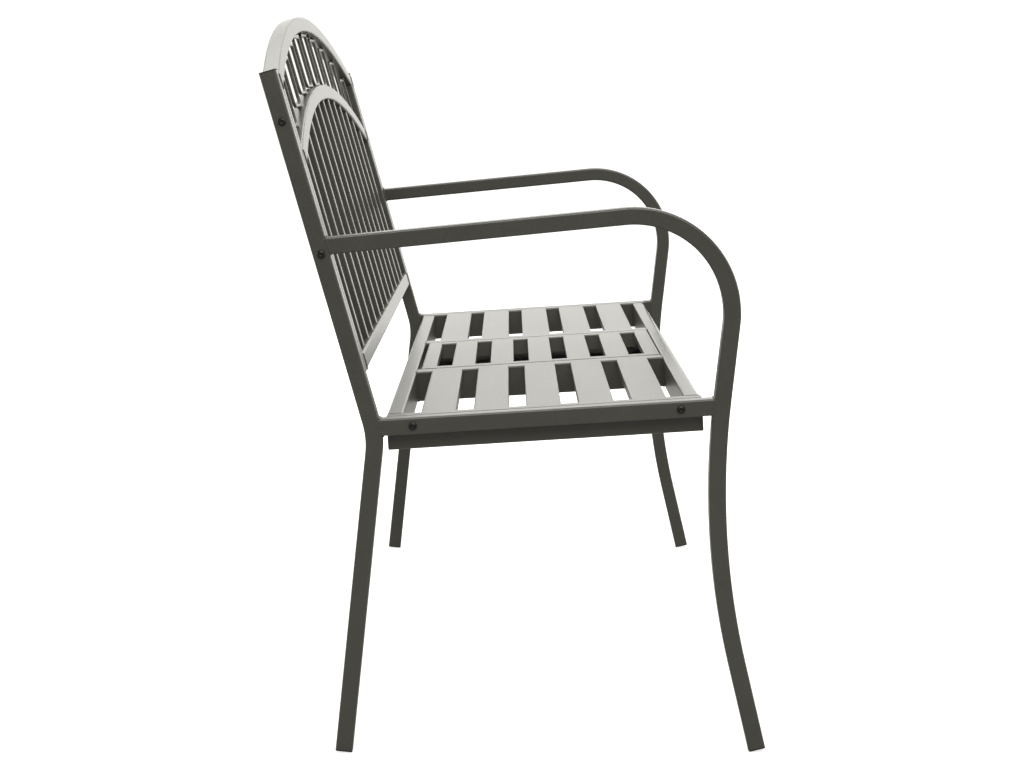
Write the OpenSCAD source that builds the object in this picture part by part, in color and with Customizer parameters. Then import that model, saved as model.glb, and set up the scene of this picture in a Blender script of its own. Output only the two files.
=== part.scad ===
// Two-seat steel garden bench with a table in the seat that lifts on scissor legs.
// X runs along the bench, the sitter faces -Y and +Z is up. The origin is on the
// ground, in the middle of the bench's length and depth. Millimetres throughout.

/* [Overall] */
// Length of the bench over its two side frames
bench_w = 1250; // [1100:1:1500]
// Outside of the square tube of the side frames and back
tube = 22; // [20:0.5:25]
// Wall of every tube
tube_wall = 1.5; // [1:0.1:2]
// Thickness of the folded sheet of the slats
sheet = 1.5; // [1:0.1:2]

/* [Rear post and leg] */
// Height of the bend between rear leg and post
rear_knee_z = 412; // [380:1:440]
// Distance of that bend behind the middle of the seat
rear_knee_y = 170.7; // [165:0.1:180]
// Lean of the post from upright, in degrees
back_rake = 15.7; // [12:0.1:18]
// Lean of the rear leg from upright, in degrees
rear_leg_rake = 6.2; // [4:0.1:8]
// Radius of the bend
rear_bend_r = 110; // [80:1:140]
// Length of the post above the bend
post_len = 478; // [440:1:520]

/* [Arm and front leg] */
// Height of the corner where the lines of arm and leg would meet
arm_corner_z = 706.6; // [680:0.1:740]
// Distance of that corner ahead of the middle of the seat
arm_corner_y = 295.2; // [285:0.1:310]
// Rise of the arm towards the front, in degrees
arm_rise = 5.6; // [3:0.1:7]
// Radius of the bend between arm and leg
arm_bend_r = 124; // [100:1:135]
// Lean of the upper front leg, in degrees
front_upper_rake = 6; // [4:0.1:8]
// Height of the bend in the front leg
front_knee_z = 286.5; // [270:0.5:310]
// Lean of the lower front leg, in degrees
front_lower_rake = 13.5; // [11:0.1:15]
// Radius of the bend in the front leg
front_bend_r = 1023; // [800:1:1100]

/* [Back] */
// Rise of both arches from their ends to their middle
arch_rise = 89; // [70:1:100]
// Height of the top arch's middle above the bend, along the post
top_arch_s = 562; // [550:1:580]
// Height of the inner arch's middle above the bend, along the post
inner_arch_s = 457; // [440:1:465]
// Height of the bottom rail's middle above the bend, along the post
bottom_rail_s = 93; // [80:1:110]
// Number of upright slats
back_slats = 12; // [8:1:12]
// Outside of the square tube of the back slats
back_slat = 15; // [12:0.5:18]
// Wall of the back slats
back_slat_wall = 1; // [0.8:0.1:1.5]
// Number of rod loops between the arches
loops = 9; // [5:2:9]
// Spacing of the loops
loop_pitch = 126; // [110:1:130]
// Width of a loop between the middles of its two legs
loop_w = 80; // [40:1:100]
// Diameter of the rod of the loops
loop_rod = 5; // [4:0.5:7]
// Bend radius of the rod, at its middle
loop_bend_r = 11; // [8:1:14]

/* [Seat] */
// Height of the seat's top at the middle of its depth
seat_z = 446; // [430:1:470]
// Rise of the seat towards the front, in degrees
seat_tilt = 3.5; // [2:0.1:5]
// Rear edge of the seat panel, from the middle of the seat
seat_rear = 158.5; // [156:0.5:160]
// Front edge of the seat panel, from the middle of the seat
seat_front = 245; // [240:0.5:247]
// Width of the tubes round the seat panel
seat_tube = 21; // [18:0.5:23]
// Depth of the tubes round the seat panel
seat_depth = 44; // [40:1:50]
// Number of slats in each seat and in the table
seat_slats = 5; // [3:1:5]
// Width of a seat slat
seat_slat = 45; // [40:0.5:50]
// Depth of the folded edges of the slats
slat_lip = 12; // [10:0.5:14]
// Width of the dividers beside the table
divider = 30; // [25:0.5:35]

/* [Table] */
// Length of the table along the bench
table_w = 316; // [300:1:340]
// Gap between table and divider
table_side_gap = 3; // [2:0.5:5]
// Gap behind the table
table_rear_gap = 6; // [4:0.5:8]
// Gap in front of the table
table_front_gap = 1.5; // [1:0.5:3]
// Width of the table's border
table_border = 22; // [20:0.5:25]
// Width of a table slat
table_slat = 35; // [32:0.5:38]
// Depth of the folded border of the table
table_lip = 10; // [8:0.5:11]
// Depth of the inner lips of the table's side bars, which hide the legs
table_side_lip = 24; // [11:1:25]

/* [Scissor legs] */
// Distance of the rear pins from the table's rear edge
rear_pin_in = 33.5; // [30:0.5:45]
// Distance of the front pins from the table's front edge
front_pin_in = 30.8; // [30:0.1:50]
// Width of the flat bar of the legs
leg_bar = 11; // [10:0.5:13]
// Thickness of that bar
leg_t = 3; // [2:0.5:4]
// Diameter of the pins
pin_d = 6; // [5:0.5:7]
// Running clearance of a pin in its hole, on the radius
pin_clear = 0.05; // [0.02:0.01:0.1]
// Wall of the rollers that carry the table
upper_roller_wall = 1.5; // [1.3:0.1:2]
// How far the rollers on the slide tracks stand out past the edges of the legs
lower_roller_over = 1.2; // [1:0.1:2]
// Thickness of the strips under the table that the upper rollers run on
strip_t = 1.7; // [1.5:0.1:3]
// Running gap between moving parts side by side
side_gap = 1.5; // [1:0.1:2]

/* [Fasteners] */
// Diameter of the frame bolts
bolt_d = 6; // [5:0.5:8]
// Diameter of a bolt's head
bolt_head_d = 10.5; // [9:0.5:13]
// Height of a bolt's head
bolt_head_h = 3.3; // [2.5:0.1:4]
// Across the flats of the socket in the head
bolt_socket = 4; // [3:0.5:5]
// Length of a bolt under its head
bolt_len = 34; // [32:1:40]
// Outside of a rivet nut
nut_d = 9; // [8:0.5:11]
// Length of a rivet nut
nut_len = 12; // [9:1:13]
// Thickness of the visible flange of a tube end plug
plug_t = 2; // [1.5:0.5:3]
// Length of a plug inside its tube
plug_in = 12; // [8:1:20]

/* [Hidden] */
$fn = 48;

steel = "#474640";
black = "#1c1c1a";
zinc = "#9a9a96";

eps = 0.5;                       // how far a cutting body reaches past what it cuts
bend_swell = 0.02;               // how much deeper and narrower a tube is in its bends, each side
bend_lap = 0.3;                  // how far a straight reaches into the bend after it
plug_fit = 0.2;                  // gap between a plug and the tube's inside, each side
hole_clear = 0.3;                // radial clearance of a bolt in its hole
head_h = 1;                      // height of a rivet's or pin's head
head_over = 1.2;                 // how far such a head stands out past its shank
roll_gap = 0.3;                  // gap between a roller and what it runs on
leg_gap = 0.5;                   // gap between the end of a leg and the table's lips
roller_space = 1.1;              // gap in height between an upper and a lower roller

half_w = bench_w / 2;
panel_x = half_w - tube;         // inner face of the side frames, where the panels start
frame_x = half_w - tube / 2;     // middle of a side frame's tube

// Side frame path, as [y, z] corners
rear_knee = [rear_knee_y, rear_knee_z];
rear_foot_z = plug_t * cos(rear_leg_rake) + tube / 2 * sin(rear_leg_rake);
rear_foot = rear_knee + (rear_knee_z - rear_foot_z) * [tan(rear_leg_rake), -1];
post_dir = [sin(back_rake), cos(back_rake)];
post_top = rear_knee + (post_len - plug_t) * post_dir;
arm_corner = [-arm_corner_y, arm_corner_z];
front_knee = arm_corner + (arm_corner_z - front_knee_z) * [tan(front_upper_rake), -1];
front_foot_z = plug_t * cos(front_lower_rake) + tube / 2 * sin(front_lower_rake);
front_foot = front_knee + (front_knee_z - front_foot_z) * [-tan(front_lower_rake), -1];
// The arm runs to the middle of the post, which then copes its end
arm_at_0 = arm_corner_z - arm_corner_y * tan(arm_rise);
arm_start_y = (rear_knee_y + (arm_at_0 - rear_knee_z) * tan(back_rake)) / (1 + tan(arm_rise) * tan(back_rake));
arm_start = [arm_start_y, arm_at_0 - arm_start_y * tan(arm_rise)];
// The seat rail runs from the middle of the post to the middle of the front leg
rail_rear = rear_knee_y;
rail_front = -arm_corner_y + (arm_corner_z - seat_z) * tan(front_upper_rake);

// Arches: circles through their middle and their ends at the side frames
arch_r = (pow(panel_x, 2) + pow(arch_rise, 2)) / (2 * arch_rise);
function arch_drop(x) = arch_r - sqrt(pow(arch_r, 2) - x * x);
function arch_under(x, s) = s - arch_r + sqrt(pow(arch_r - tube, 2) - x * x);
slat_pitch = 2 * (panel_x - tube / 2) / (back_slats + 1);

// Seat panel, in the seat's own plane: u towards the back, w up from the seat's top
side_in = panel_x - seat_tube;                   // inner face of the seat's side tubes
divider_in = table_w / 2 + table_side_gap;       // faces of a divider
divider_out = divider_in + divider;
inside_rear = seat_rear - seat_tube;             // inner faces of the cross tubes
inside_front = -(seat_front - seat_tube);
seat_gap = (inside_rear - inside_front - seat_slats * seat_slat) / (seat_slats + 1);
table_rear = inside_rear - table_rear_gap;
table_front = inside_front + table_front_gap;
table_in = table_w / 2 - table_border;           // inner face of the table's side bars
table_gap = (table_rear - table_front - 2 * table_border - seat_slats * table_slat) / (seat_slats + 1);

// Scissor: both legs are laid in side view from their rear pins, table down
upper_roller_d = pin_d + 2 * upper_roller_wall;
lower_roller_d = leg_bar + 2 * lower_roller_over;
leg_end_r = leg_bar / 2 / cos(22.5);             // from an end pin to the corners of the leg's end
// Depths of the upper and lower pins below the seat's top
upper_pin_depth = table_lip + max(strip_t + roll_gap + upper_roller_d / 2, leg_end_r + leg_gap);
lower_pin_depth = upper_pin_depth + upper_roller_d / 2 + roller_space + lower_roller_d / 2;
rear_pin_y = table_rear - rear_pin_in;
front_pin_y = table_front + front_pin_in;
leg_len = norm([rear_pin_y - front_pin_y, lower_pin_depth - upper_pin_depth]);
leg_angle = asin((lower_pin_depth - upper_pin_depth) / leg_len);
lift_angle = 42;                                 // turn of the outer legs, table down to table up
track_t = 2;                                     // thickness of the slide track
track_web = divider_in - track_t;                // inner face of the track's web
outer_leg_x = track_web - side_gap - leg_t;      // inner face of the outer legs
inner_leg_x = outer_leg_x - side_gap - leg_t;    // inner face of the inner legs
bracket_t = 2.5;                                 // thickness of the table's brackets
bracket_x = inner_leg_x - side_gap - bracket_t;  // inner face of the brackets
bracket_reach = 10;                              // how far a bracket reaches each side of its pin
roller_w = 6;                                    // width of a roller
lower_roller_x = inner_leg_x - 1 - roller_w;     // inner faces of the rollers
upper_roller_x = lower_roller_x - 1;
track_top = -(lower_pin_depth + lower_roller_d / 2 + roll_gap);   // running face of the slide track
strip_low = -(upper_pin_depth - upper_roller_d / 2 - roll_gap);   // running face under the table
travel = leg_len * (cos(leg_angle) - cos(leg_angle + lift_angle));   // way that the rollers run

// Bolts: places along the post and along the seat rail
post_bolts = [242, 413];
rail_bolts = [-216, 124];

// The whole is moved so that its depth is centred on the origin
front_tip = front_foot[0] - tube / 2 * cos(front_lower_rake) - plug_t * sin(front_lower_rake);
rear_tip = rear_knee[0] + top_arch_s * sin(back_rake) + tube / 2 * cos(back_rake);
centre_y = (front_tip + rear_tip) / 2;

function angle_of(v) = atan2(v[1], v[0]);
function unit(v) = v / norm(v);
// Tangent length and turn at a corner of a path
function turn(a, b, c) = let (d = angle_of(c - b) - angle_of(b - a)) d > 180 ? d - 360 : d < -180 ? d + 360 : d;
function tangent(a, b, c, r) = r * tan(abs(turn(a, b, c)) / 2);
function bend_centre(a, b, c, r) = let (d = unit(b - a), side = sign(turn(a, b, c)))
    b - d * tangent(a, b, c, r) + side * r * [-d[1], d[0]];

module centred() { translate([0, -centre_y, 0]) children(); }
// From a drawing in the plane of a side frame (x is Y, y is Z) to its place at x
module side_plane(x) { translate([x, 0, 0]) rotate([90, 0, 90]) children(); }
// x along the bench, y up the post from its bend, z forwards from the post's middle
module on_back() {
    centred() translate([0, rear_knee[0], rear_knee[1]]) rotate([90 - back_rake, 0, 0]) children();
}
// x along the bench, y to the back in the seat's plane, z up from the seat's top
module on_seat() { centred() translate([0, 0, seat_z]) rotate([-seat_tilt, 0, 0]) children(); }
module both_sides() {
    for (side = [-1, 1]) mirror([side < 0 ? 1 : 0, 0, 0]) children();
}

module ring(w, h, t) {
    difference() {
        square([w, h], center = true);
        square([w - 2 * t, h - 2 * t], center = true);
    }
}

// Tube along a path that starts at the origin along x. Each step is [length, 0] for a straight or
// [bend radius, turn in degrees] for a bend, and the next step is drawn in the frame at its end.
// Straights reach a little way into the bends, which are a hair deeper and narrower.
module tube_path(steps, w, t, i = 0) {
    if (i < len(steps)) {
        l = steps[i][0];
        a = steps[i][1];
        centre = [0, sign(a) * l, 0];
        lap_0 = i > 0 ? bend_lap : 0;
        lap_1 = i < len(steps) - 1 ? bend_lap : 0;
        if (a == 0) {
            translate([-lap_0, 0, 0]) rotate([90, 0, 90]) linear_extrude(l + lap_0 + lap_1) tube_section(w, t);
            translate([l, 0, 0]) tube_path(steps, w, t, i + 1);
        } else {
            translate(centre) rotate([0, 0, a > 0 ? -90 : 90 + a]) rotate_extrude(angle = abs(a), $fn = 180)
                translate([l, 0]) tube_section(w, t, bend_swell);
            translate(centre) rotate([0, 0, a]) translate(-centre) tube_path(steps, w, t, i + 1);
        }
    }
}
module tube_section(w, t, swell = 0) {
    if (t > 0) ring(w + 2 * swell, w - 2 * swell, t);
    else square([w + 2 * swell, w - 2 * swell], center = true);
}
// Steps of a path of corners, with one bend radius per inner corner
function path_steps(path, radii) = let (
    last = len(path) - 1,
    cuts = [for (i = [0 : last]) i == 0 || i == last ? 0 : tangent(path[i - 1], path[i], path[i + 1], radii[i - 1])])
    [for (i = [0 : last - 1]) each [
        [norm(path[i + 1] - path[i]) - cuts[i] - cuts[i + 1], 0],
        if (i < last - 1) [radii[i], turn(path[i], path[i + 1], path[i + 2])]]];
module tube_run(path, radii, w = tube, t = tube_wall) {
    translate(path[0]) rotate([0, 0, angle_of(path[1] - path[0])]) tube_path(path_steps(path, radii), w, t);
}

module rear_post_run(t) { tube_run([rear_foot, rear_knee, post_top], [rear_bend_r], tube, t); }
module arm_leg_run(t) {
    tube_run([arm_start, arm_corner, front_knee, front_foot], [arm_bend_r, front_bend_r], tube, t);
}
// Holes through a side frame's tube, along X
module post_holes(d) {
    for (s = post_bolts) let (p = rear_knee + s * post_dir)
        translate([0, p[0], p[1]]) rotate([0, 90, 0]) cylinder(h = tube + 2 * eps, d = d, center = true);
}
module rail_holes(d) {
    translate([0, 0, seat_z]) rotate([-seat_tilt, 0, 0]) for (u = rail_bolts)
        translate([0, u, -tube / 2]) rotate([0, 90, 0]) cylinder(h = tube + 2 * eps, d = d, center = true);
}

module rear_post(x) {
    color(steel) centred() difference() {
        side_plane(x) rear_post_run(tube_wall);
        translate([x, 0, 0]) post_holes(bolt_d + 2 * hole_clear);
    }
}
module arm_leg(x) {
    color(steel) centred() side_plane(x) difference() {
        arm_leg_run(tube_wall);
        behind_post_face();
    }
}
// Everything behind the post's front face, in a side frame's plane
module behind_post_face() {
    translate(rear_knee) rotate([0, 0, 90 - back_rake]) translate([100, -4 * tube, -tube])
        cube([post_len - 100, 4 * tube + tube / 2, 2 * tube]);
}
// Ends coped to the bend of the rear leg and to the face of the front leg
module seat_rail(x) {
    middle = (rail_rear + rail_front) / 2;
    knee_centre = bend_centre(rear_foot, rear_knee, post_top, rear_bend_r);
    color(steel) centred() difference() {
        translate([x, middle, seat_z - middle * tan(seat_tilt)]) rotate([-seat_tilt, 0, 0])
            translate([0, 0, -tube / 2]) rotate([90, 0, 0])
                linear_extrude((rail_rear - rail_front) / cos(seat_tilt), center = true) ring(tube, tube, tube_wall);
        side_plane(x) {
            translate([knee_centre[0], knee_centre[1], -tube])
                cylinder(h = 2 * tube, r = rear_bend_r + tube / 2 + bend_swell, $fn = 180);
            translate(rear_knee) rotate([0, 0, 90 - back_rake]) translate([0, -4 * tube, -tube])
                cube([post_len, 4 * tube + tube / 2, 2 * tube]);
            translate(arm_corner) rotate([0, 0, front_upper_rake - 90]) translate([0, -4 * tube, -tube])
                cube([arm_corner_z, 4 * tube + tube / 2, 2 * tube]);
        }
        translate([x, 0, 0]) rail_holes(bolt_d + 2 * hole_clear);
    }
}

// A plug at the end of a tube: flange outside, spigot inside
module plug(end, dir) {
    translate(end) rotate([0, 0, angle_of(dir)]) rotate([90, 0, 90]) {
        linear_extrude(plug_t) square(tube, center = true);
        translate([0, 0, -plug_in]) linear_extrude(plug_in + eps)
            square(tube - 2 * (tube_wall + plug_fit), center = true);
    }
}
module foot_plugs() {
    color(black) centred() both_sides() side_plane(frame_x) {
        plug(rear_foot, rear_foot - rear_knee);
        plug(front_foot, front_foot - front_knee);
    }
}
module post_caps() { color(black) centred() both_sides() side_plane(frame_x) plug(post_top, post_dir); }

// Arch of tube whose outside touches height s in the middle
module arch(s, half_span) {
    a = asin(half_span / arch_r);
    translate([0, s - arch_r, 0]) intersection() {
        rotate([0, 0, 90 - a - 2]) rotate_extrude(angle = 2 * a + 4, $fn = 360)
            translate([arch_r - tube / 2, 0]) ring(tube, tube, tube_wall);
        translate([-half_span, 0, -tube]) cube([2 * half_span, 2 * arch_r, 2 * tube]);
    }
}
module back_top_arch() { color(steel) on_back() arch(top_arch_s, panel_x); }
module back_inner_arch() { color(steel) on_back() arch(inner_arch_s, panel_x - tube); }
module back_bottom_rail() {
    color(steel) on_back() translate([0, bottom_rail_s, 0]) rotate([90, 0, 90])
        linear_extrude(2 * (panel_x - tube), center = true) ring(tube, tube, tube_wall);
}
// Everything under the underside of an arch
module under_arch(s) {
    translate([0, s - arch_r, -tube]) cylinder(r = arch_r - tube, h = 2 * tube, $fn = 360);
}
// Stile beside a post, cut at its top to the underside of the arch
module back_stile(side) {
    base = bottom_rail_s - tube / 2;
    color(steel) on_back() difference() {
        intersection() {
            translate([side * (panel_x - tube / 2), base, 0]) rotate([-90, 0, 0])
                linear_extrude(top_arch_s - base) ring(tube, tube, tube_wall);
            under_arch(top_arch_s);
        }
        for (s = post_bolts) translate([side * panel_x, s, 0]) rotate([0, 90, 0])
            cylinder(h = tube, d = nut_d + 2 * pin_clear, center = true);
    }
}
module back_slat(i) {
    x = (i - (back_slats + 1) / 2) * slat_pitch;
    base = bottom_rail_s + tube / 2;
    color(steel) on_back() intersection() {
        translate([x, base, 0]) rotate([-90, 0, 0])
            linear_extrude(inner_arch_s - base) ring(back_slat, back_slat, back_slat_wall);
        under_arch(inner_arch_s);
    }
}
// Closed loop of round rod between the arches, welded to both
module rod_loop(x) {
    reach = loop_w / 2 - loop_bend_r + 2;
    low = inner_arch_s - arch_drop(max(0, abs(x) - reach)) + loop_rod / 2;
    high = arch_under(abs(x) + reach, top_arch_s) - loop_rod / 2;
    translate([x, (low + high) / 2, 0]) rod_rect(loop_w, high - low);
}
module rod_rect(w, h) {
    r = loop_bend_r;
    for (side = [-1, 1]) {
        translate([side * w / 2, 0, 0]) rotate([90, 0, 0]) 
            cylinder(h = h - 2 * r + 2 * bend_lap, d = loop_rod, center = true);
        translate([0, side * h / 2, 0]) rotate([0, 90, 0]) 
            cylinder(h = w - 2 * r + 2 * bend_lap, d = loop_rod, center = true);
    }
    for (k = [0 : 3])
        translate([(k == 0 || k == 3 ? 1 : -1) * (w / 2 - r), (k < 2 ? 1 : -1) * (h / 2 - r), 0])
            rotate([0, 0, 90 * k]) rotate_extrude(angle = 90) translate([r, 0])
                circle(d = loop_rod + 2 * bend_swell);
}
module back_loops() {
    color(steel) on_back() for (i = [0 : loops - 1]) rod_loop((i - (loops - 1) / 2) * loop_pitch);
}

// Rectangular tube in the seat's plane, from corner to corner, hung from the seat's top
module seat_bar_x(x0, x1, u0, u1, depth) {
    translate([x0, (u0 + u1) / 2, -depth / 2]) rotate([90, 0, 90])
        linear_extrude(x1 - x0) ring(u1 - u0, depth, tube_wall);
}
module seat_bar_u(x0, x1, u0, u1, depth) {
    translate([(x0 + x1) / 2, u1, -depth / 2]) rotate([90, 0, 0])
        linear_extrude(u1 - u0) ring(x1 - x0, depth, tube_wall);
}
module seat_rear_rail() { color(steel) on_seat() seat_bar_x(-side_in, side_in, inside_rear, seat_rear, seat_depth); }
module seat_front_rail() {
    color(steel) on_seat() seat_bar_x(-side_in, side_in, -seat_front, inside_front, seat_depth);
}
module seat_side(side) {
    color(steel) on_seat() difference() {
        mirror([side < 0 ? 1 : 0, 0, 0]) seat_bar_u(side_in, panel_x, -seat_front, seat_rear, seat_depth);
        for (u = rail_bolts) translate([side * panel_x, u, -tube / 2]) rotate([0, 90, 0])
            cylinder(h = seat_tube, d = nut_d + 2 * pin_clear, center = true);
    }
}
module seat_divider(side) {
    color(steel) on_seat() mirror([side < 0 ? 1 : 0, 0, 0])
        seat_bar_u(divider_in, divider_out, inside_front, inside_rear, seat_depth);
}

// Slat folded from sheet: flat top and a lip down each long edge, along x
module folded_slat(x0, x1, u0, u1, lip) {
    translate([x0, 0, 0]) rotate([90, 0, 90]) linear_extrude(x1 - x0) difference() {
        translate([u0, -lip]) square([u1 - u0, lip]);
        translate([u0 + sheet, -lip - eps]) square([u1 - u0 - 2 * sheet, lip - sheet + eps]);
    }
}
function seat_slat_rear(i) = inside_rear - seat_gap * i - seat_slat * (i - 1);
module seat_slat_at(side, i) {
    rear = seat_slat_rear(i);
    color(steel) on_seat() mirror([side < 0 ? 1 : 0, 0, 0])
        folded_slat(divider_out, side_in, rear - seat_slat, rear, slat_lip);
}

// Table: a border folded from sheet, mitre-free, with slats between its side bars
module table_slat_at(i) {
    rear = table_rear - table_border - table_gap * i - table_slat * (i - 1);
    color(steel) on_seat() folded_slat(-table_in, table_in, rear - table_slat, rear, table_lip);
}
module table_rear_bar() {
    color(steel) on_seat() folded_slat(-table_w / 2, table_w / 2, table_rear - table_border, table_rear, table_lip);
}
module table_front_bar() {
    color(steel) on_seat() folded_slat(-table_w / 2, table_w / 2, table_front, table_front + table_border, table_lip);
}
module table_side_bar(side) {
    color(steel) on_seat() mirror([side < 0 ? 1 : 0, 0, 0])
        translate([0, table_rear - table_border, 0]) rotate([90, 0, 0])
            linear_extrude(table_rear - table_front - 2 * table_border) difference() {
                union() {
                    translate([table_in, -table_lip]) square([table_border, table_lip]);
                    translate([table_in, -table_side_lip]) square([sheet, table_side_lip]);
                }
                translate([table_in + sheet, -table_side_lip - eps])
                    square([table_border - 2 * sheet, table_side_lip - sheet + eps]);
            }
}

// Everything of the scissor is placed in side view by its depth under the seat's top
module at_pin(x, u, depth) { translate([x, u, -depth]) rotate([0, 90, 0]) children(); }
// Flat bar with chamfered ends between two pins, with holes at both ends and in the middle
module leg(x, from, to) {
    d = to - from;
    r = leg_bar / 2;
    c = r * (sqrt(2) - 1);
    translate([x, from[0], from[1]]) rotate([angle_of(d), 0, 0]) rotate([90, 0, 90]) linear_extrude(leg_t)
        difference() {
            polygon([[-c, -r], [leg_len + c, -r], [leg_len + r, -c], [leg_len + r, c], [leg_len + c, r],
                [-c, r], [-r, c], [-r, -c]]);
            for (hole = [0, leg_len / 2, leg_len]) translate([hole, 0]) circle(d = pin_d + 2 * pin_clear);
        }
}
module outer_legs() {
    color(steel) on_seat() both_sides()
        leg(outer_leg_x, [rear_pin_y, -lower_pin_depth], [front_pin_y, -upper_pin_depth]);
}
module inner_legs() {
    color(steel) on_seat() both_sides()
        leg(inner_leg_x, [rear_pin_y, -upper_pin_depth], [front_pin_y, -lower_pin_depth]);
}
// Pin along x from x0 to x1 with a head past each end that is asked for
module headed_pin(x0, x1, heads) {
    translate([0, 0, x0]) cylinder(h = x1 - x0, d = pin_d);
    if (heads[0]) translate([0, 0, x0 - head_h]) cylinder(h = head_h, d = pin_d + 2 * head_over);
    if (heads[1]) translate([0, 0, x1]) cylinder(h = head_h, d = pin_d + 2 * head_over);
}
module leg_rivets() {
    color(zinc) on_seat() both_sides()
        at_pin(0, (rear_pin_y + front_pin_y) / 2, (upper_pin_depth + lower_pin_depth) / 2)
            headed_pin(inner_leg_x - pin_clear, outer_leg_x + leg_t + pin_clear, [true, true]);
}
module roller(x, d) {
    translate([0, 0, x]) difference() {
        cylinder(h = roller_w, d = d);
        translate([0, 0, -eps]) cylinder(h = roller_w + 2 * eps, d = pin_d + 2 * pin_clear);
    }
}
// Each roller turns on an axle that is riveted into the free end of a leg
module upper_rollers() {
    color(black) on_seat() both_sides() at_pin(0, front_pin_y, upper_pin_depth) {
        roller(upper_roller_x, upper_roller_d);
        headed_pin(upper_roller_x - pin_clear, outer_leg_x + leg_t + pin_clear, [true, true]);
    }
}
module lower_rollers() {
    color(black) on_seat() both_sides() at_pin(0, front_pin_y, lower_pin_depth) {
        roller(lower_roller_x, lower_roller_d);
        headed_pin(lower_roller_x - pin_clear, inner_leg_x + leg_t + pin_clear, [true, false]);
    }
}
// Hangers with the pins that the inner legs turn on, and the strips that the upper rollers run under
module table_brackets() {
    strip_x = table_in + sheet;
    strip_end = front_pin_y + travel + upper_roller_d;
    color(steel) on_seat() both_sides() {
        translate([bracket_x, rear_pin_y - bracket_reach, -(upper_pin_depth + bracket_reach / 2)])
            cube([bracket_t, 2 * bracket_reach, upper_pin_depth + bracket_reach / 2 - sheet]);
        at_pin(0, rear_pin_y, upper_pin_depth)
            headed_pin(bracket_x + bracket_t / 2, inner_leg_x + leg_t + pin_clear, [false, true]);
        translate([strip_x, table_front + table_border, strip_low])
            cube([inner_leg_x - side_gap / 2 - strip_x, strip_end - table_front - table_border, -table_lip - strip_low]);
    }
}
// Angle tracks on the dividers: the web carries the pins of the outer legs, the rollers run on the flange
module slide_tracks() {
    flange_x = lower_roller_x - 1;
    low = track_top - track_t;
    color(steel) on_seat() both_sides() {
        translate([track_web, inside_front, low])
            cube([track_t, inside_rear - inside_front, -table_lip - track_t - low]);
        translate([flange_x, inside_front, low])
            cube([divider_in - flange_x, inside_rear - inside_front, track_t]);
        at_pin(0, rear_pin_y, lower_pin_depth) headed_pin(outer_leg_x - pin_clear, track_web + track_t / 2, [true, false]);
    }
}

// Socket screw along x with its head's seat at z = 0
module bolt() {
    difference() {
        cylinder(h = bolt_head_h, d = bolt_head_d);
        translate([0, 0, bolt_head_h - 2]) cylinder(h = 2 + eps, d = bolt_socket / cos(30), $fn = 6);
    }
    translate([0, 0, -bolt_len]) cylinder(h = bolt_len, d = bolt_d);
}
// Rivet nut in the wall at z = 0, reaching inwards
module rivet_nut() {
    translate([0, 0, -nut_len]) difference() {
        cylinder(h = nut_len, d = nut_d);
        translate([0, 0, -eps]) cylinder(h = nut_len + 2 * eps, d = bolt_d + 2 * pin_clear);
    }
}
module at_bolts(x) {
    both_sides() {
        on_back() for (s = post_bolts) translate([x, s, 0]) rotate([0, 90, 0]) children();
        on_seat() for (u = rail_bolts) translate([x, u, -tube / 2]) rotate([0, 90, 0]) children();
    }
}
module frame_bolts() { color(black) at_bolts(half_w) bolt(); }
module rivet_nuts() { color(zinc) at_bolts(panel_x) rivet_nut(); }

rear_post(-frame_x);  // left_rear_post
rear_post(frame_x);  // right_rear_post
arm_leg(-frame_x);  // left_arm_leg
arm_leg(frame_x);  // right_arm_leg
seat_rail(-frame_x);  // left_seat_rail
seat_rail(frame_x);  // right_seat_rail
foot_plugs();
post_caps();
back_top_arch();
back_inner_arch();
back_bottom_rail();
back_stile(-1);  // left_back_stile
back_stile(1);  // right_back_stile
for (i = [1 : back_slats]) back_slat(i);
back_loops();
seat_rear_rail();
seat_front_rail();
seat_side(-1);  // seat_left_side
seat_side(1);  // seat_right_side
seat_divider(-1);  // left_divider
seat_divider(1);  // right_divider
for (i = [1 : seat_slats]) seat_slat_at(-1, i);
for (i = [1 : seat_slats]) seat_slat_at(1, i);
table_rear_bar();
table_front_bar();
table_side_bar(-1);  // table_left_bar
table_side_bar(1);  // table_right_bar
for (i = [1 : seat_slats]) table_slat_at(i);
outer_legs();
inner_legs();
leg_rivets();
upper_rollers();
lower_rollers();
table_brackets();
slide_tracks();
frame_bolts();
rivet_nuts();
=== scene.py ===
# %% [markdown]
# # A steel garden bench whose middle seat panel lifts into a table
#
# The bench is welded from square tube, folded sheet slats and round rod, then powder coated as one
# piece. Everything below is worked out in millimetres from the sizes of the real stock, and each
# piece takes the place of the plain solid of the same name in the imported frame.

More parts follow.
